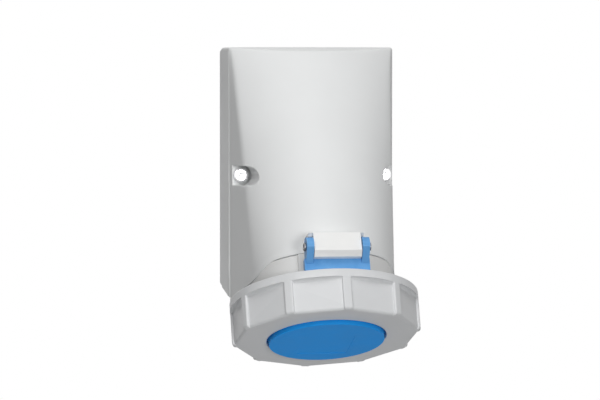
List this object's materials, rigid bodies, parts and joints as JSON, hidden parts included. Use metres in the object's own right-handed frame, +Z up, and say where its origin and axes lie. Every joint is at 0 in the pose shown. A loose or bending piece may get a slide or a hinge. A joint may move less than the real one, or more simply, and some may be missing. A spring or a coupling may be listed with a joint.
{
  "type": "industrial wall socket",
  "caption": "Surface-mounted industrial wall socket with an inclined round outlet, a hinged blue lid and a ribbed bayonet ring.",
  "frame": {"origin": "middle of the base plate's back face, on the wall", "axes": "+X to the right seen from the front, +Y into the wall, +Z up"},
  "size_m": [0.1, 0.1238, 0.1731],
  "materials": {
    "housing_grey": "satin",
    "ring_grey": "satin",
    "body_grey": "satin",
    "lid_blue": "satin",
    "carrier_blue": "matte",
    "seal_black": "matte",
    "screw_plating": "bright plated",
    "pin_steel": "plain",
    "contact_brass": "bright"
  },
  "bodies": {
    "housing": {"base_plate": "housing_grey", "cover_seal": "seal_black", "front_cover": "housing_grey", "cover_screw_left": "screw_plating", "cover_screw_right": "screw_plating", "socket_body": "body_grey", "socket_screw_left": "screw_plating", "socket_screw_right": "screw_plating", "contact_carrier": "carrier_blue", "contact_line": "contact_brass", "contact_neutral": "contact_brass", "contact_earth": "contact_brass", "terminal_screw_line": "screw_plating", "terminal_screw_neutral": "screw_plating", "terminal_screw_earth": "screw_plating", "hinge_pin": "pin_steel"},
    "lid": {"lid": "lid_blue", "lid_seal": "seal_black"},
    "ring": {"bayonet_ring": "ring_grey"}
  },
  "joints": [
    {"name": "lid_hinge", "type": "hinge", "parent": "housing", "child": "lid", "pos_m": [0, -0.10886, -0.03892], "axis": [-1, 0, 0], "range_deg": [0, 120], "stiffness_Nm_per_rad": 0.06, "springref_deg": -57.3},
    {"name": "ring_turn", "type": "hinge", "parent": "lid", "child": "ring", "pos_m": [0, -0.0695, -0.0683], "axis": [0, 0.3746, 0.9272], "range_deg": [0, 45]}
  ]
}
